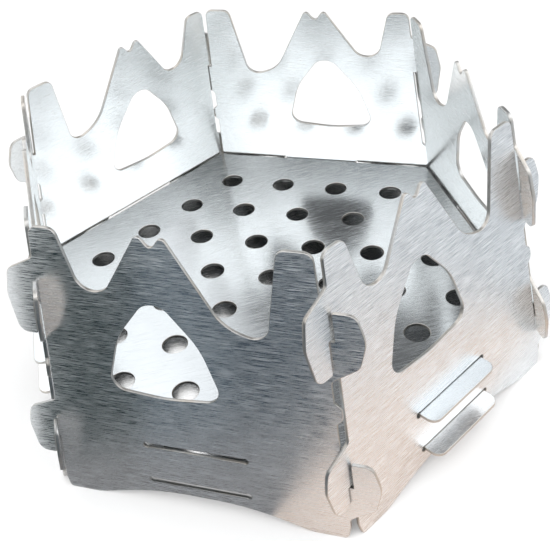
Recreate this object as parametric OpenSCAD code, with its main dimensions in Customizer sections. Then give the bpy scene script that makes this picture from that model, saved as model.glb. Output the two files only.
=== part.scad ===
// Plug-together hexagonal stove for a spirit burner or twigs. Six walls cut from one flat blank
// lean inwards and hook into each other at the corners. A grate and an ash plate hang by tabs in
// slots of the walls. Millimetres, +Z up, origin on the ground at the stove's axis, one corner
// towards -Y.

/* [Stove] */
// Height from the ground to the tips of the crown
height = 66; // [56:1:80]
// Width across opposite walls at the ground, between the middles of the sheets
bottom_w = 116; // [104:1:140]
// Width across opposite walls at the crown, between the middles of the sheets
top_w = 95.6; // [86:0.2:100]
// Thickness of the sheet that every piece is cut from
sheet_t = 0.8; // [0.5:0.1:1]

/* [Crown] */
// Width of the post at the left end of the crown
left_post_w = 5.2; // [4:0.1:8]
// Width of the post at the right end of the crown
right_post_w = 6.4; // [4:0.1:8]
// Distance of the peak from the middle of the wall, to the left
peak_shift = 3.2; // [0:0.1:6]
// Distance between the two small tips of the peak
tip_gap = 4.8; // [3:0.1:7]
// Depth of the notch between the two small tips
notch_depth = 2.2; // [1:0.1:4]
// Depth of the left valley
left_valley_depth = 13; // [8:0.1:14]
// Depth of the right valley
right_valley_depth = 19; // [12:0.1:20]

/* [Window] */
// Height of the window's sill above the ground, along the wall
sill_y = 30; // [26:0.5:32]
// Metal left between the window's top and the tips of the crown
window_drop = 14.4; // [12:0.2:18]
// Width of the window
window_w = 21.6; // [14:0.5:26]
// Distance of the window from the middle of the wall, to the left
window_shift = 4.6; // [0:0.1:6]

/* [Corner ears] */
// How far the ears stand out past the corner
ear_out = 6.2; // [4:0.1:8]
// Height where the lower ears meet, along the wall
low_lap_y = 14.6; // [13:0.1:16]
// Drop from the crown to where the upper ears meet, along the wall
high_lap_drop = 17.4; // [16:0.1:19]
// Depth of the slit in an ear that stands up
standing_slit = 5.9; // [4:0.1:7]
// Depth of the slit in the upper ear that hangs down
high_hanging_slit = 7.1; // [5:0.1:8]
// Depth of the slit in the lower ear that hangs down
low_hanging_slit = 4.7; // [4:0.1:6]
// Free play of a sheet in a slit
slit_gap = 0.2; // [0.1:0.05:0.4]
// Gap between two slit ends that meet
lap_gap = 0.4; // [0.3:0.05:0.6]

/* [Feet] */
// Rise of the arch between the two feet of a wall
arch_rise = 3.8; // [2:0.1:4]
// Width of each foot, where the wall stands on the ground
foot_w = 8; // [6:0.5:12]

/* [Grate and ash plate] */
// Height of the grate's slots above the ground, along the wall
grate_y = 16.6; // [15:0.1:20]
// Height of the ash plate's slots above the ground, along the wall
ash_y = 6.8; // [6.5:0.1:8]
// Length of the slots
slot_w = 23; // [16:0.5:26]
// Free play of a tab in its slot, up and down
slot_gap = 0.25; // [0.15:0.05:0.4]
// Free play of a tab in its slot, at each end
tab_end_gap = 0.8; // [0.3:0.1:1]
// How far the tabs stand out past the walls
tab_out = 4; // [3:0.1:6]
// Gap between a plate's edge and the walls
plate_gap = 0.5; // [0.3:0.1:0.8]
// Diameter of the holes in the grate
hole_d = 6; // [4:0.5:8]
// Distance between neighbouring holes
hole_pitch = 15.6; // [12:0.2:18]
// Metal left between the outer holes and the grate's edge
hole_margin = 6; // [4:0.5:10]

/* [Hidden] */

$fn = 48;
sides = 6;
side_angle = 360 / sides;
arc_step = 12;      // most degrees of turn in one straight piece of a rounded corner
arc_piece = 1.4;    // greatest length of such a piece

// The walls' lean and what follows from it
lean = atan((bottom_w - top_w) / 2 / height);
crown_y = height / cos(lean);
high_lap_y = crown_y - high_lap_drop;
fold = acos(cos(side_angle) * pow(cos(lean), 2) + pow(sin(lean), 2));
slit_w = sheet_t * (1 + cos(fold)) / sin(fold) + slit_gap;
edge_in = slit_w / 2;
ground_cut = sheet_t * tan(lean);

// Radii of the blank's corners
post_r = 1.9;
tip_r = 0.9;
ear_r = 2.4;
ear_side_r = 6;
ear_root_r = 1.5;
mouth_r = 0.4;
foot_r = 1.2;
foot_draw = 0.9;      // how far a foot draws back from the corner at the ground
foot_draw_h = 3.2;    // height where it starts to
foot_draw_r = 3;
foot_end_r = 12;      // where the foot turns up into the arch
arch_r = 55;
tab_r = 2.2;
left_post_in = 0.3;   // the left post reaches almost to the corner line
right_post_in = 1.1;  // the right post makes room for it

// Distance of the corner line from the middle of a wall, at the height y along the wall
function corner_x(y) = (bottom_w / 2 - y * sin(lean)) * tan(side_angle / 2);
// Points beside the corner lines: out is positive past the corner
function left_edge(out, y, r = 0) = [-corner_x(y) - out, y, r];
function right_edge(out, y, r = 0) = [corner_x(y) + out, y, r];
function between(a, b, share) = a + (b - a) * share;

// Closed outline with round corners. Each corner is [x, y, radius]. A radius is limited by the
// shorter straight beside it.
function unit(v) = v / norm(v);
function flat_point(corner) = [corner[0], corner[1]];
function corner_arc(before, corner, after, r) =
    let (
        u = unit(before - corner),
        w = unit(after - corner),
        half = acos(u * w) / 2,
        reach = min(norm(before - corner), norm(after - corner)) / 2,
        fit_r = min(r, reach * tan(half)),
        start = corner + u * fit_r / tan(half),
        middle = corner + unit(u + w) * fit_r / sin(half),
        turn = (180 - 2 * half) * sign(cross(w, u)),
        arc_length = fit_r * abs(turn) * PI / 180,
        steps = ceil(max(2, abs(turn) / arc_step, arc_length / arc_piece)),
        arm = start - middle
    )
    [for (i = [0 : steps])
        let (a = turn * i / steps)
        middle + [arm[0] * cos(a) - arm[1] * sin(a), arm[0] * sin(a) + arm[1] * cos(a)]];
function rounded(corners) =
    let (n = len(corners))
    [for (i = [0 : n - 1])
        let (corner = corners[i])
        each corner[2] == 0
            ? [flat_point(corner)]
            : corner_arc(
                flat_point(corners[(i + n - 1) % n]), flat_point(corner),
                flat_point(corners[(i + 1) % n]), corner[2])];

// Ear that stands up past the right edge, with its slit open at the top. Runs upwards.
standing_h = 9.2;       // from the ear's root to the slit's end
function standing_ear(lap_y) =
    let (root_y = lap_y - standing_h, top_y = lap_y + standing_slit)
    [
        right_edge(-edge_in, root_y, ear_root_r),
        right_edge(ear_out * 0.8, root_y + 3.8, ear_r),
        right_edge(ear_out + 0.3, between(root_y, top_y, 0.62), ear_side_r),
        right_edge(ear_out * 0.82, top_y, ear_r),
        right_edge(slit_w / 2, top_y, mouth_r),
        right_edge(slit_w / 2, lap_y - lap_gap / 2),
        right_edge(-slit_w / 2, lap_y - lap_gap / 2)
    ];

// Ear that hangs down past the left edge, with its slit open at the bottom. Runs downwards.
hanging_h = 10.6;       // from the slit's end to the ear's root
function hanging_ear(lap_y, slit, root_in) =
    let (root_y = lap_y + hanging_h, low_y = lap_y - slit)
    [
        left_edge(-root_in, root_y, ear_root_r),
        left_edge(ear_out * 0.9, root_y - 3, ear_r),
        left_edge(ear_out + 0.2, between(low_y, root_y, 0.5), ear_side_r),
        left_edge(ear_out * 0.75, low_y, ear_r),
        left_edge(slit_w / 2, low_y, mouth_r),
        left_edge(slit_w / 2, lap_y + lap_gap / 2),
        left_edge(-slit_w / 2, lap_y + lap_gap / 2)
    ];

// Small round nub on the right edge that keeps the gap to the next wall. It lies half way between
// that wall's lower hanging ear and this wall's upper standing ear.
nub_low = low_lap_y + hanging_h;
nub_high = high_lap_y - standing_h;
nub_y = between(nub_low, nub_high, 0.5);
nub_h = 0.34 * (nub_high - nub_low);
nub_out = (edge_in - slit_gap - sheet_t / 2 * sin(fold)) / cos(fold);
function nub(y) = [
    right_edge(-edge_in, y - nub_h / 2, 0.4),
    right_edge(nub_out, y - nub_h / 4, 1.8),
    right_edge(nub_out, y + nub_h / 4, 1.8),
    right_edge(-edge_in, y + nub_h / 2, 0.4)
];

// Feet and the low arch between them, from left to right. Each foot draws back from the corner
// towards the ground.
function feet() =
    let (foot_x = corner_x(0) - edge_in - foot_w, arch_x = foot_x * 0.42)
    [
        left_edge(-edge_in, foot_draw_h, foot_draw_r),
        left_edge(-edge_in - foot_draw, -ground_cut, foot_r),
        [-foot_x, -ground_cut, foot_end_r],
        [-arch_x, arch_rise, arch_r],
        [arch_x, arch_rise, arch_r],
        [foot_x, -ground_cut, foot_end_r],
        right_edge(-edge_in - foot_draw, -ground_cut, foot_r),
        right_edge(-edge_in, foot_draw_h, foot_draw_r)
    ];

// Crown from the right post to the left post. The depths are those of the rounded valleys, so the
// corners of the straight flanks lie a little deeper.
function crown() =
    let (
        right_x = corner_x(crown_y) - right_post_in - right_post_w,
        left_x = -corner_x(crown_y) + left_post_in + left_post_w,
        right_tip = -peak_shift + tip_gap / 2,
        left_tip = -peak_shift - tip_gap / 2,
        tip_y = crown_y + 0.6
    )
    [
        right_edge(-right_post_in, crown_y, post_r),
        [right_x, crown_y, post_r],
        [between(right_x, right_tip, 0.13), crown_y - right_valley_depth - 1, 3.1],
        [between(right_x, right_tip, 0.52), crown_y - right_valley_depth + 1.2, 9.4],
        [right_tip, tip_y, tip_r],
        [-peak_shift, crown_y - notch_depth - 0.4, tip_r],
        [left_tip, tip_y, tip_r],
        [between(left_x, left_tip, 0.26), crown_y - left_valley_depth - 5.9, 3.8],
        [left_x, crown_y, post_r],
        left_edge(-left_post_in, crown_y, post_r)
    ];

// Window: a rounded triangle with bulging sides
function window() =
    let (
        top_y = crown_y - window_drop,
        window_h = top_y - sill_y,
        sill_x = window_w * 0.57,
        shoulder_x = window_w * 0.39,
        x = -window_shift
    )
    [
        [x, sill_y - 0.2, 30],
        [x + sill_x, sill_y + 1, 3.2],
        [x + shoulder_x, sill_y + window_h * 0.62, 18],
        [x, top_y + 2.4, 3.9],
        [x - shoulder_x, sill_y + window_h * 0.62, 18],
        [x - sill_x, sill_y + 1, 3.2]
    ];

// Slot that a level tab passes through the leaning sheet, with a round relief at each end
slot_h = sheet_t / cos(lean) + sheet_t * tan(lean) + slot_gap;
relief_d = slot_h + 0.3;
module slot(y) {
    translate([0, y]) {
        square([slot_w - relief_d, slot_h], center = true);
        for (side = [-1, 1])
            translate([side * (slot_w - relief_d) / 2, 0])
                circle(d = relief_d);
    }
}

module wall_blank() {
    difference() {
        polygon(rounded(concat(
            feet(),
            standing_ear(low_lap_y),
            nub(nub_y),
            standing_ear(high_lap_y),
            crown(),
            hanging_ear(high_lap_y, high_hanging_slit, left_post_in),
            hanging_ear(low_lap_y, low_hanging_slit, edge_in)
        )));
        polygon(rounded(window()));
        slot(grate_y);
        slot(ash_y);
    }
}

// A wall whose outer face looks towards the given azimuth, cut level at the ground
module side_panel(azimuth) {
    color("lightgray")
    difference() {
        rotate([0, 0, azimuth])
            translate([bottom_w / 2, 0, 0])
                rotate([0, -lean, 0])
                    rotate([90, 0, 90])
                        linear_extrude(sheet_t, center = true)
                            wall_blank();
        translate([-bottom_w, -bottom_w, -bottom_w])
            cube([2 * bottom_w, 2 * bottom_w, bottom_w]);
    }
}

// Distance of a wall's middle from the stove's axis at the height z
function wall_distance(z) = bottom_w / 2 - z * tan(lean);

// Level hexagonal plate that hangs in the slots at the height y along the walls, with a tab
// through every second wall
module hanging_plate(y) {
    z = y * cos(lean);
    half_sheet = sheet_t / 2 / cos(lean);
    plate_r = wall_distance(z + sheet_t / 2) - half_sheet - plate_gap;
    tab_end = wall_distance(z - sheet_t / 2) + half_sheet + tab_out;
    tab_half = slot_w / 2 - tab_end_gap;
    hex_half = plate_r * tan(side_angle / 2);
    translate([0, 0, z - sheet_t / 2])
        linear_extrude(sheet_t)
            polygon(rounded([for (i = [0 : sides - 1])
                let (
                    a = side_angle * i - side_angle,
                    place = function (p) [
                        p[0] * cos(a) - p[1] * sin(a),
                        p[0] * sin(a) + p[1] * cos(a),
                        p[2]
                    ]
                )
                each i % 2 == 1
                    ? [place([plate_r, hex_half, 1])]
                    : [
                        place([plate_r, -tab_half, 0.6]),
                        place([tab_end, -tab_half, tab_r]),
                        place([tab_end, tab_half, tab_r]),
                        place([plate_r, tab_half, 0.6]),
                        place([plate_r, hex_half, 1])
                    ]]));
}

// Round holes in a triangular lattice, in as many rings as the plate holds
module hole_lattice(reach, h) {
    row = hole_pitch * cos(side_angle / 2);
    rings = floor(reach / row);
    for (i = [-rings : rings])
        for (j = [-rings : rings])
            if (abs(i + j) <= rings)
                translate([row * i, hole_pitch * (j + i / 2), 0])
                    cylinder(d = hole_d, h = h, center = true);
}

module fire_grate() {
    z = grate_y * cos(lean);
    color("whitesmoke")
    difference() {
        hanging_plate(grate_y);
        translate([0, 0, z])
            hole_lattice(wall_distance(z) - hole_margin - hole_d / 2, 3 * sheet_t);
    }
}

module ash_plate() {
    color("gainsboro")
        hanging_plate(ash_y);
}

side_panel(-side_angle);  // side_panel_front_right
side_panel(0);  // side_panel_right
side_panel(side_angle);  // side_panel_back_right
side_panel(2 * side_angle);  // side_panel_back_left
side_panel(3 * side_angle);  // side_panel_left
side_panel(-2 * side_angle);  // side_panel_front_left
fire_grate();
ash_plate();
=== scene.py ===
"""Looks of the plug-together hexagonal stove: six leaning walls of brushed stainless sheet, a
grate with round holes and an ash plate, each with deburred cut edges. Metres, in the CAD frame.
"""

import math

import bmesh
import bpy
import numpy as np
from mathutils import Matrix, Vector
from mathutils.geometry import tessellate_polygon

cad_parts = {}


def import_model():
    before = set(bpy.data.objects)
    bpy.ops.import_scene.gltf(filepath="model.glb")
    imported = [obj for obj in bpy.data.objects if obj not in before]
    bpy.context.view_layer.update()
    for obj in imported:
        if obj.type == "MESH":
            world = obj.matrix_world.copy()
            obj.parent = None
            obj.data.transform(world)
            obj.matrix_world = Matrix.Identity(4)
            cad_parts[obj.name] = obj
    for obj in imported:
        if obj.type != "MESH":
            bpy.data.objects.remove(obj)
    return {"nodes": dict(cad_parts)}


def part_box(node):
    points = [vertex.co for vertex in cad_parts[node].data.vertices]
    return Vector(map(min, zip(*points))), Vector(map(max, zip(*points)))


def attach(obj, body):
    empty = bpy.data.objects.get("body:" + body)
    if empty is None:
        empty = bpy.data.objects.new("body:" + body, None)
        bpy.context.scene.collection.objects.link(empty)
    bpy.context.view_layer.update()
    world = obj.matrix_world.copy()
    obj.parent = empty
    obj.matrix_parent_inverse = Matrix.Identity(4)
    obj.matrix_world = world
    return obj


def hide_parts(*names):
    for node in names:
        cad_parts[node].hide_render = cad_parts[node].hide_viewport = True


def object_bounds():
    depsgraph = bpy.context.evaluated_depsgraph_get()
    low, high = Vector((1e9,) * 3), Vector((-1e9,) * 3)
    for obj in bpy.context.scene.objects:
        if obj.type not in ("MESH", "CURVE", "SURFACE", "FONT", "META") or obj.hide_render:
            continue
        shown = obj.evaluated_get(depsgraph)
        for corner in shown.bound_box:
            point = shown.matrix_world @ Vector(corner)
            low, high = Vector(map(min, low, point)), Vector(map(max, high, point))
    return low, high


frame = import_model()
cad_low, cad_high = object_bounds()

MM = 0.001
UP = np.array([0.0, 0.0, 1.0])
WALLS = [name for name in frame["nodes"] if name.startswith("side_panel_")]

# How the CAD sheets are read
WELD = 0.002 * MM                  # corners closer than this are one corner
SAME_WAY = 0.999                   # cosine above which two directions count as the same
LEVEL_SHEET = 0.99                 # a sheet lies level when its normal rises by more than this
LEVEL_PULL = 0.01                  # upward part of the way out, which settles level sheets
WIDE_SHARE = 0.9                   # share of the widest face's area that still counts as widest
SMOOTH_TURN = math.radians(15)     # a smaller turn between two pieces of outline is in an arc
ARC_PIECE = (0.5 * MM, 2.5 * MM)   # lengths of outline pieces that belong to an arc

# Edges of the finished sheets
ARC_STEP = 0.35 * MM               # longest piece of the finer arcs
DEBURR_R = 0.13 * MM               # round of the tumbled cut edges
DEBURR_STEPS = 3                   # straight pieces in a quarter of that round
LEAST_SPREAD = 0.35                # limit on how far an inset corner is drawn out

# Grain of the brushed sheets
FINE_STREAKS = 8.5                 # streaks to a millimetre across the grain
BROAD_STREAKS = 4.0                # the same for the broader streaks under them
BROAD_DRAW = 3                     # how many times longer the broad streaks are
FINE_SHARE = 0.7                   # share of the fine streaks in the grain
STREAK_NOISE = (0.36, 0.64)        # values of the mixed noise that bound a streak
MOST_NOISE = (0.3, 0.7)            # values between which a plain noise mostly stays
SHINE = 0.13                       # roughness taken off where a streak is darkest
CLOUDS = 38.0                      # slow clouds of shade to a metre
CLOUD_DEPTH = 0.03                 # share by which they lighten and darken
WAVES = 30.0                       # lazy waves of the rolled sheet to a metre
WAVE_STRENGTH = 0.12
WAVE_HEIGHT = 2 * MM

# Cut edges
EDGE_GREY = (0.55, 0.56, 0.56)
EDGE_WARM = (0.58, 0.55, 0.51)
EDGE_MARKS = 2600.0                # fine marks to a metre
EDGE_STAINS = 140.0                # warm stains to a metre
STAIN_NOISE = (0.35, 0.65)         # values of their noise from no stain to a full one
EDGE_SHADE = (0.9, 1.08)
EDGE_ROUGH = (0.28, 0.46)
EDGE_RELIEF = 0.03 * MM
EDGE_RELIEF_STRENGTH = 0.2

# Camera, degrees and metres
CAMERA_AZIMUTH = -9.34
CAMERA_ELEVATION = 39.54
CAMERA_ROLL = -7.49
CAMERA_DISTANCE = 212.9 * MM
AIM_SHIFT = (1.73 * MM, 2.04 * MM)   # aim, right of and behind the middle of the stove
SENSOR_MM = 36.0
LENS_MM = 54.68
CLIP_START = 0.01

# Lamps: azimuth and elevation in degrees, side in metres, power in watts
WINDOWS = {
    "window_left": (-50, 46, 0.54, 1.42),
    "window_right": (58, 49, 0.56, 1.5),
    "window_back": (-160, 46, 0.36, 0.43),
}
WINDOW_DISTANCE = 0.6

# Floor and cards
FLOOR_HALF = 2.0
FLOOR_DROP = 0.02 * MM             # the floor lies this far under the feet
FLOOR_WHITE = (0.86, 0.86, 0.86)
FLOOR_GLOW = (0.16, 0.6)           # near the stove and far from it
GLOW_RISE = (0.25, 1.2)            # distances between which the glow rises
CARD_HEIGHT = 72                   # millimetres, as are the next two
CARD_LIFT = 0.02                   # of the lying cards above the ground
DARK_CARD_LIFT = 0.05              # of the dark one, whose edge meets the warm one's

# Studio dome: its level, and the stretches over which it changes, as parts of a unit direction
DOME_LOW = 1.0
DOME_MIDDLE = 0.4
DOME_OVERHEAD = 0.76
DOME_DIM = 0.78                    # share taken off towards the back right
LOW_FADE = (0.3, 0.5)
OVERHEAD_FADE = (0.42, 0.72)
DIM_UP = (0.35, 0.5)
DIM_RIGHT = (-0.1, 0.14)
DIM_BACK = (0.3, 0.6)


def added(name, data):
    """New object in the scene with this mesh, lamp or camera."""
    thing = bpy.data.objects.new(name, data)
    bpy.context.scene.collection.objects.link(thing)
    return thing


# ---------------------------------------------------------------- sheets

def widest_face(node):
    """Welded mesh of a CAD node, and the normal of its widest flat face: upwards, or away from
    the stove's axis."""
    bm = bmesh.new()
    bm.from_mesh(frame["nodes"][node].data)
    bmesh.ops.remove_doubles(bm, verts=bm.verts, dist=WELD)
    bm.normal_update()
    areas = {}
    for face in bm.faces:
        key = tuple(round(c, 2) for c in face.normal)
        areas[key] = areas.get(key, 0.0) + face.calc_area()
    widest = max(areas.values())
    wide = [np.array(key) for key, area in areas.items() if area > WIDE_SHARE * widest]
    middle = np.array(sum(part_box(node), Vector())) / 2
    outwards = middle * [1, 1, 0] + LEVEL_PULL * UP
    rough = max(wide, key=lambda n: n @ outwards)
    normal = sum(np.array(f.normal) * f.calc_area() for f in bm.faces
                 if rough @ f.normal > SAME_WAY)
    return bm, normal / np.linalg.norm(normal)


def sheet_axes(normal):
    """Directions along a sheet's width, up the sheet and out of it. The width is level."""
    if abs(normal[2]) > LEVEL_SHEET:
        return np.eye(3)
    along = np.cross(UP, normal)
    along /= np.linalg.norm(along)
    return np.array([along, np.cross(normal, along), normal])


def face_loops(bm, normal):
    """Closed loops round the flat face with this normal, the outline first, then its openings.
    The metal lies to the left of each loop. The faces are walked in the mesh's own order, so the
    loops start at the same corners in each run."""
    top = [face for face in bm.faces if face.normal.dot(Vector(normal)) > SAME_WAY]
    flat = set(top)
    follow = {}
    for face in top:
        for loop in face.loops:
            if not any(other in flat for other in loop.edge.link_faces if other is not face):
                follow[loop.vert] = loop.link_loop_next.vert
    loops = []
    while follow:
        start = next(iter(follow))
        chain = [start]
        corner = follow.pop(start)
        while corner is not start:
            chain.append(corner)
            corner = follow.pop(corner)
        loops.append(np.array([v.co for v in chain], float))
    return sorted(loops, key=lambda p: -np.ptp(p, axis=0).max())


def rounded_loop(points):
    """Finer copy of a closed flat loop. Short pieces that meet at a small turn belong to an arc,
    and are cut into steps along a cubic curve: it leaves one end and reaches the other along the
    line between that end's two neighbours. Corners and straights stay."""
    ahead = np.roll(points, -1, axis=0)
    piece = ahead - points
    length = np.linalg.norm(piece, axis=1)
    direction = piece / length[:, None]
    before = np.roll(direction, 1, axis=0)
    turn = np.abs(np.arctan2(before[:, 0] * direction[:, 1] - before[:, 1] * direction[:, 0],
                             (before * direction).sum(axis=1)))
    smooth = turn < SMOOTH_TURN
    smooth_ahead = np.roll(smooth, -1)
    slope = ahead - np.roll(points, 1, axis=0)
    slope /= np.linalg.norm(slope, axis=1)[:, None]
    start = np.where(smooth[:, None], slope * length[:, None], piece)
    end = np.where(smooth_ahead[:, None], np.roll(slope, -1, axis=0) * length[:, None], piece)

    short = (ARC_PIECE[0] < length) & (length < ARC_PIECE[1])
    steps = np.where(short & (smooth | smooth_ahead), np.ceil(length / ARC_STEP), 1).astype(int)
    i = np.repeat(np.arange(len(points)), steps)
    done = np.arange(len(i)) - np.repeat(np.cumsum(steps) - steps, steps)
    t = (done / steps[i])[:, None]
    return (points[i] * (2 * t**3 - 3 * t**2 + 1) + ahead[i] * (3 * t**2 - 2 * t**3)
            + start[i] * (t**3 - 2 * t**2 + t) + end[i] * (t**3 - t**2))


def inward(points):
    """Direction into the metal at each point of a flat loop, longer at sharp corners so that an
    inset keeps its width: the two pieces' left normals, added and divided by 1 plus their dot."""
    piece = np.roll(points, -1, axis=0) - points
    piece /= np.linalg.norm(piece, axis=1)[:, None]
    left = np.stack([-piece[:, 1], piece[:, 0]], axis=1)
    before = np.roll(left, 1, axis=0)
    spread = np.maximum(1 + (left * before).sum(axis=1), LEAST_SPREAD)
    return (left + before) / spread[:, None]


def edge_profile(thickness):
    """Inset and depth of the points down a deburred edge: a quarter round, a straight and a
    quarter round. On a quarter round the inset is the radius times 1 minus the sine of the angle,
    and the depth is the radius times 1 minus its cosine."""
    a = np.linspace(0, math.pi / 2, DEBURR_STEPS + 1)
    inset = DEBURR_R * (1 - np.sin(a))
    depth = DEBURR_R * (1 - np.cos(a))
    return np.concatenate([inset, inset[::-1]]), np.concatenate([depth, thickness - depth[::-1]])


def carried_edge(flats, top, thickness):
    """Points and faces of a sheet's edge. The edge profile is carried round each flat loop, into
    the metal by its inset and down from the top by its depth. Each loop also gives the indices of
    its points, with a row for a place on the loop and a column for a point of the profile."""
    inset, depth = edge_profile(thickness)
    places = []
    quads = []
    grids = []
    first = 0
    for flat in flats:
        shape = (len(flat), len(inset))
        across = flat[:, None] + inward(flat)[:, None] * inset[None, :, None]
        height = np.broadcast_to(top - depth[None, :, None], (*shape, 1))
        places.append(np.concatenate([across, height], axis=2).reshape(-1, 3))
        grid = first + np.arange(across.shape[0] * across.shape[1]).reshape(shape)
        onward = np.roll(grid, -1, axis=0)
        sides = [grid[:, :-1], grid[:, 1:], onward[:, 1:], onward[:, :-1]]
        quads.append(np.stack(sides, axis=2).reshape(-1, 4))
        grids.append(grid)
        first += grid.size
    return np.concatenate(places), np.concatenate(quads), grids


def filled_face(outlines):
    """Triangles, turned to face up, that fill a flat outline round its openings."""
    flat = np.concatenate(outlines)
    triangles = np.array(tessellate_polygon(
        [[Vector((x, y, 0)) for x, y in outline] for outline in outlines]))
    corners = flat[triangles]
    legs = corners[:, 1:] - corners[:, :1]
    turned = legs[:, 0, 0] * legs[:, 1, 1] < legs[:, 0, 1] * legs[:, 1, 0]
    triangles[turned] = triangles[turned][:, ::-1]
    return triangles


def sheet_piece(node, outer, edge, inner):
    """Sheet that stands for a CAD node, with its edge profile carried round every loop of the
    node's flat face and both flat faces filled between the rims. It is kept inside the node's
    box. The UV map runs along the sheet's width and up it, in millimetres. The outer or upper
    side, the edge and the other side have a material each."""
    bm, normal = widest_face(node)
    axes = sheet_axes(normal)
    flats = [rounded_loop(loop @ axes[:2].T) for loop in face_loops(bm, normal)]
    heights = [vertex.co.dot(Vector(normal)) for vertex in bm.verts]
    bm.free()
    top = max(heights)
    local, quads, grids = carried_edge(flats, top, top - min(heights))
    upper = np.concatenate([grid[:, 0] for grid in grids])
    lower = np.concatenate([grid[:, -1] for grid in grids])
    fill = filled_face([local[grid[:, 0], :2] for grid in grids])

    faces = quads.tolist() + upper[fill].tolist() + lower[fill[:, ::-1]].tolist()
    low, high = (np.array(corner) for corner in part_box(node))
    points = np.clip(local @ axes, low, high)
    mesh = bpy.data.meshes.new(node + "_sheet")
    mesh.from_pydata(points.tolist(), [], faces)
    mesh.polygons.foreach_set("use_smooth", np.arange(len(faces)) < len(quads))
    mesh.polygons.foreach_set("material_index",
                              np.repeat([1, 0, 2], [len(quads), len(fill), len(fill)]))
    corner_of = np.empty(len(mesh.loops), int)
    mesh.loops.foreach_get("vertex_index", corner_of)
    uv = (local[:, :2] - local[:, :2].min(axis=0) * [0, 1]) / MM
    mesh.uv_layers.new(name="grain").data.foreach_set("uv", uv[corner_of].ravel())
    for material in (outer, edge, inner):
        mesh.materials.append(material)
    mesh.validate()
    piece = added(node + "_sheet", mesh)
    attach(piece, "root")
    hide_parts(node)
    return piece


# ---------------------------------------------------------------- materials

class Nodes:
    """Short way to write the node tree of a material or a world."""

    def __init__(self, owner):
        owner.use_nodes = True
        self.owner = owner
        self.tree = owner.node_tree
        self.tree.nodes.clear()

    def add(self, kind, values=(), **settings):
        """A node with these settings. A value is a number or colour, or a socket to link."""
        node = self.tree.nodes.new(kind)
        for key, value in settings.items():
            setattr(node, key, value)
        for socket, value in dict(values).items():
            if isinstance(value, bpy.types.NodeSocket):
                self.tree.links.new(value, node.inputs[socket])
            else:
                node.inputs[socket].default_value = value
        return node

    def mapped(self, vector, scale):
        """A copy of a pattern's coordinates, stretched."""
        return self.add("ShaderNodeMapping", {"Vector": vector, "Scale": scale}).outputs[0]

    def noise(self, vector, scale=1.0, detail=2.0, rough=0.5):
        """Cloudy noise between 0 and 1."""
        return self.add("ShaderNodeTexNoise", {"Vector": vector, "Scale": scale,
                                               "Detail": detail, "Roughness": rough}).outputs[0]

    def ranged(self, value, low, high, start=0.0, end=1.0, step="LINEAR"):
        """A value that goes from low to high while the one given goes from start to end."""
        return self.add("ShaderNodeMapRange", {"Value": value, "From Min": start, "From Max": end,
                                               "To Min": low, "To Max": high},
                        interpolation_type=step).outputs[0]

    def smooth(self, value, low, high, start, end):
        """The same with a soft start and end."""
        return self.ranged(value, low, high, start, end, step="SMOOTHSTEP")

    def calc(self, operation, a, b):
        """Two values added, multiplied and so on."""
        return self.add("ShaderNodeMath", {0: a, 1: b}, operation=operation).outputs[0]

    def blend(self, share, a, b):
        """Colour a with this share of colour b."""
        return self.add("ShaderNodeMix", {0: share, 6: (*a, 1.0), 7: (*b, 1.0)},
                        data_type="RGBA").outputs[2]

    def scaled(self, colour, factor):
        """A colour made lighter or darker by a plain number."""
        return self.add("ShaderNodeVectorMath", {0: colour, "Scale": factor},
                        operation="SCALE").outputs[0]

    def surface(self, shader):
        """Ends the tree in this shader, and gives back the material or world."""
        kind = "World" if isinstance(self.owner, bpy.types.World) else "Material"
        self.add("ShaderNodeOutput" + kind, {"Surface": shader.outputs[0]})
        return self.owner


def brushed_steel(name, colour, rough, spread, along, grain, relief, anisotropy):
    """Brushed sheet. Fine and broad streaks run along the sheet's width: noise drawn out along U,
    with along streaks to a millimetre. They vary the colour by the share grain, the roughness up
    to rough plus spread, and the height by relief. Slow clouds of shade and a lazy wave of the
    rolled sheet lie under them."""
    n = Nodes(bpy.data.materials.new(name))
    uv = n.add("ShaderNodeUVMap", uv_map="grain").outputs[0]
    place = n.add("ShaderNodeTexCoord").outputs["Object"]
    fine = n.noise(n.mapped(uv, (along, FINE_STREAKS, 1)), detail=2, rough=0.6)
    broad = n.noise(n.mapped(uv, (along / BROAD_DRAW, BROAD_STREAKS, 1)), detail=1)
    streak = n.calc("ADD", n.calc("MULTIPLY", fine, FINE_SHARE),
                    n.calc("MULTIPLY", broad, 1 - FINE_SHARE))
    streak = n.ranged(streak, 0, 1, *STREAK_NOISE)
    cloud = n.ranged(n.noise(place, scale=CLOUDS, detail=3),
                     1 - CLOUD_DEPTH, 1 + CLOUD_DEPTH, *MOST_NOISE)
    shade = n.calc("MULTIPLY", n.ranged(streak, 1 - grain, 1 + grain), cloud)
    wave = n.add("ShaderNodeBump", {"Height": n.noise(place, scale=WAVES, detail=0),
                                    "Strength": WAVE_STRENGTH, "Distance": WAVE_HEIGHT})
    bump = n.add("ShaderNodeBump", {"Height": streak, "Strength": 1.0, "Distance": relief,
                                    "Normal": wave.outputs[0]})
    tangent = n.add("ShaderNodeTangent", direction_type="UV_MAP", uv_map="grain")
    return n.surface(n.add("ShaderNodeBsdfPrincipled", {
        "Base Color": n.scaled(colour, shade), "Metallic": 1.0,
        "Roughness": n.ranged(streak, rough - SHINE, rough + spread),
        "Anisotropic": anisotropy, "Anisotropic Rotation": 0.25,
        "Tangent": tangent.outputs[0], "Normal": bump.outputs[0]}))


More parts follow.
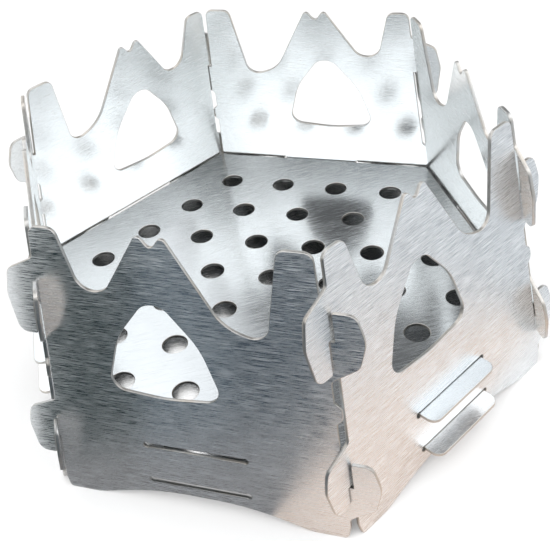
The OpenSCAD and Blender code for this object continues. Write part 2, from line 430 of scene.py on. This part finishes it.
def cut_edge():
    """Cut and tumbled edge of the sheets: grey with faint warm stains, and fine marks that vary
    its shade, roughness and height."""
    n = Nodes(bpy.data.materials.new("cut_edge"))
    place = n.add("ShaderNodeTexCoord").outputs["Object"]
    marks = n.noise(place, scale=EDGE_MARKS, detail=2)
    stain = n.ranged(n.noise(place, scale=EDGE_STAINS, detail=2), 0, 1, *STAIN_NOISE)
    colour = n.scaled(n.blend(stain, EDGE_GREY, EDGE_WARM),
                      n.ranged(marks, *EDGE_SHADE, *MOST_NOISE))
    bump = n.add("ShaderNodeBump", {"Height": marks, "Strength": EDGE_RELIEF_STRENGTH,
                                    "Distance": EDGE_RELIEF})
    return n.surface(n.add("ShaderNodeBsdfPrincipled", {
        "Base Color": colour, "Metallic": 1.0,
        "Roughness": n.ranged(marks, *EDGE_ROUGH, *MOST_NOISE), "Normal": bump.outputs[0]}))


def paper(name, colour, near_glow, far_glow):
    """Matt paper that looks lighter to the camera and in reflections than its own light makes it,
    by a glow that lights nothing else. So a pale floor looks white and keeps the stove's shadow.
    The glow goes from near_glow to far_glow away from the stove, where the lamps fade."""
    n = Nodes(bpy.data.materials.new(name))
    ray = n.add("ShaderNodeLightPath").outputs
    seen = n.calc("MAXIMUM", ray["Is Camera Ray"], ray["Is Glossy Ray"])
    seen = n.calc("MAXIMUM", seen, ray["Is Transmission Ray"])
    place = n.add("ShaderNodeTexCoord").outputs["Object"]
    away = n.add("ShaderNodeVectorMath", {0: place}, operation="LENGTH").outputs["Value"]
    glow = n.smooth(away, near_glow, far_glow, *GLOW_RISE)
    return n.surface(n.add("ShaderNodeBsdfPrincipled", {
        "Base Color": (*colour, 1), "Roughness": 0.9, "Specular IOR Level": 0.2,
        "Emission Color": (*colour, 1), "Emission Strength": n.calc("MULTIPLY", seen, glow)}))


# ---------------------------------------------------------------- stage

def direction(azimuth, elevation):
    """Way from the stove at these angles in degrees: azimuth 0 is the front, -Y."""
    a = math.radians(azimuth)
    e = math.radians(elevation)
    return Vector((math.sin(a) * math.cos(e), -math.cos(a) * math.cos(e), math.sin(e)))


def camera():
    """Camera above the front corner and a little to its left, rolled to one side. It aims near
    the middle of the grate's top."""
    middle = (cad_low + cad_high) / 2
    aim = Vector((middle.x + AIM_SHIFT[0], middle.y + AIM_SHIFT[1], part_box("fire_grate")[1].z))
    back = direction(CAMERA_AZIMUTH, CAMERA_ELEVATION)
    level = back.to_track_quat("Z", "Y").to_matrix()
    turned = Matrix.Rotation(math.radians(CAMERA_ROLL), 3, back) @ level
    data = bpy.data.cameras.new("camera")
    data.sensor_width = SENSOR_MM
    data.lens = LENS_MM
    data.clip_start = CLIP_START
    eye = added("camera", data)
    eye.matrix_world = Matrix.Translation(aim + back * CAMERA_DISTANCE) @ turned.to_4x4()
    bpy.context.scene.camera = eye


def softbox(name, azimuth, elevation, side, power):
    """Square area lamp that looks at the stove."""
    away = direction(azimuth, elevation)
    data = bpy.data.lights.new(name, "AREA")
    data.size = side
    data.energy = power
    turn = away.to_track_quat("Z", "Y").to_matrix().to_4x4()
    added(name, data).matrix_world = Matrix.Translation(away * WINDOW_DISTANCE) @ turn


def stage_sheet(name, corners, material):
    """Flat stage piece with these corners."""
    mesh = bpy.data.meshes.new(name)
    mesh.from_pydata(corners, [], [range(len(corners))])
    mesh.materials.append(material)
    screen = added(name, mesh)
    return screen


def floor():
    """Plain pale floor, just under the stove's feet."""
    corners = [(x * FLOOR_HALF, y * FLOOR_HALF, 0) for x, y in ((-1, -1), (1, -1), (1, 1), (-1, 1))]
    ground = stage_sheet("floor", corners, paper("floor_paper", FLOOR_WHITE, *FLOOR_GLOW))
    ground.location.z = cad_low.z - FLOOR_DROP


def card(name, corners, material):
    """Studio card that is seen only in reflections, with its corners in millimetres."""
    screen = stage_sheet(name, [tuple(c * MM for c in corner) for corner in corners], material)
    for ray in ("camera", "diffuse", "shadow"):
        setattr(screen, "visible_" + ray, False)


def cards():
    """Cards that the walls mirror: four dark ones that stand in a row before the front left wall,
    from its far end round to the front, and on the floor a dark one before that wall, a warm one
    before the front corner and a grey one beyond it to the right. Plan in millimetres."""
    far_left = (-72.5, -35.5)
    left = (-58, -56)
    front_left = (-46, -72.5)
    front = (-4, -131)
    front_right = (70, -128)
    wall_left = (-58, -34)
    wall_foot = (-17, -58.5)
    dark_end = (-28.5, -96)
    warm_front = (10, -125)
    warm_right = (80, -75)
    warm_back = (85, -35)
    warm_foot = (0, -60)
    grey_back = 20
    grey_far = 400

    dark = paper("dark_card", (0.10, 0.13, 0.16), 0, 0)
    darker = paper("darker_card", (0.06, 0.085, 0.09), 0, 0)
    blue = paper("dark_blue_card", (0.17, 0.215, 0.255), 0, 0)
    uprights = [("darker_card_left", far_left, left, darker),
                ("dark_card_left", left, front_left, blue),
                ("dark_card_middle", front_left, front, dark),
                ("dark_card_front", front, front_right, dark)]
    for name, a, b, material in uprights:
        card(name, [(*a, 0), (*b, 0), (*b, CARD_HEIGHT), (*a, CARD_HEIGHT)], material)

    lying = [("dark_floor", (0.25, 0.245, 0.25), 0, DARK_CARD_LIFT,
              [far_left, wall_left, wall_foot, dark_end]),
             ("warm_floor", (0.79, 0.66, 0.58), 0.13, CARD_LIFT,
              [wall_foot, dark_end, warm_front, warm_right, warm_back, warm_foot]),
             ("grey_floor", (0.56, 0.585, 0.61), 0, CARD_LIFT,
              [warm_front, warm_right, warm_back, (warm_back[0], grey_back), (grey_far, grey_back),
               (grey_far, -grey_far), (warm_front[0], -grey_far)])]
    for name, colour, glow, height, plan in lying:
        card(name, [(*corner, height) for corner in plan], paper(name, colour, glow, glow))


def world():
    """Soft studio dome: white low down, grey above that, paler overhead, and dimmer towards the
    back right. Each change is a soft step of the direction's height or side."""
    n = Nodes(bpy.data.worlds.new("studio"))
    way = n.add("ShaderNodeTexCoord").outputs["Generated"]
    x, y, z = n.add("ShaderNodeSeparateXYZ", {0: way}).outputs
    bright = n.calc("MAXIMUM", n.smooth(z, DOME_LOW, 0, *LOW_FADE),
                    n.smooth(z, DOME_MIDDLE, DOME_OVERHEAD, *OVERHEAD_FADE))
    dim = n.calc("MULTIPLY", n.smooth(z, 0, 1, *DIM_UP), n.smooth(x, 0, DOME_DIM, *DIM_RIGHT))
    dim = n.calc("MULTIPLY", dim, n.smooth(y, 0, 1, *DIM_BACK))
    level = n.calc("MULTIPLY", bright, n.calc("SUBTRACT", 1.0, dim))
    background = n.add("ShaderNodeBackground", {"Color": (1, 1, 1, 1), "Strength": level})
    bpy.context.scene.world = n.surface(background)


# ---------------------------------------------------------------- the stove

def stove():
    """The eight sheets. The outsides of the walls, their insides, the grate and the ash plate
    have a finish each. The insides are smoother than the outsides, and their colour is painted
    paler to stand for the brighter light that falls inside the stove."""
    edge = cut_edge()
    wall = brushed_steel("wall_brushed", (0.77, 0.79, 0.805), rough=0.2, spread=0.36,
                         along=0.28, grain=0.25, relief=0.01 * MM, anisotropy=0.5)
    # painted light: the insides' base colour is paler than the outsides' same steel, standing for
    # the brighter light inside the stove
    inside = brushed_steel("wall_inside_painted_light", (0.88, 0.89, 0.885), rough=0.22, spread=0.08,
                           along=0.3, grain=0.03, relief=0.004 * MM, anisotropy=0.3)
    plate = brushed_steel("plate_satin", (0.605, 0.64, 0.665), rough=0.22, spread=0.1,
                          along=0.22, grain=0.04, relief=0.002 * MM, anisotropy=0.3)
    ash = brushed_steel("ash_plate_satin", (0.78, 0.785, 0.79), rough=0.2, spread=0.1,
                        along=0.5, grain=0.05, relief=0.005 * MM, anisotropy=0.2)
    for name in WALLS:
        sheet_piece(name, wall, edge, inside)
    sheet_piece("fire_grate", plate, edge, plate)
    sheet_piece("ash_plate", ash, edge, ash)


stove()
floor()
world()
for window, settings in WINDOWS.items():
    softbox(window, *settings)
cards()
camera()
bpy.context.scene.view_settings.view_transform = "Standard"
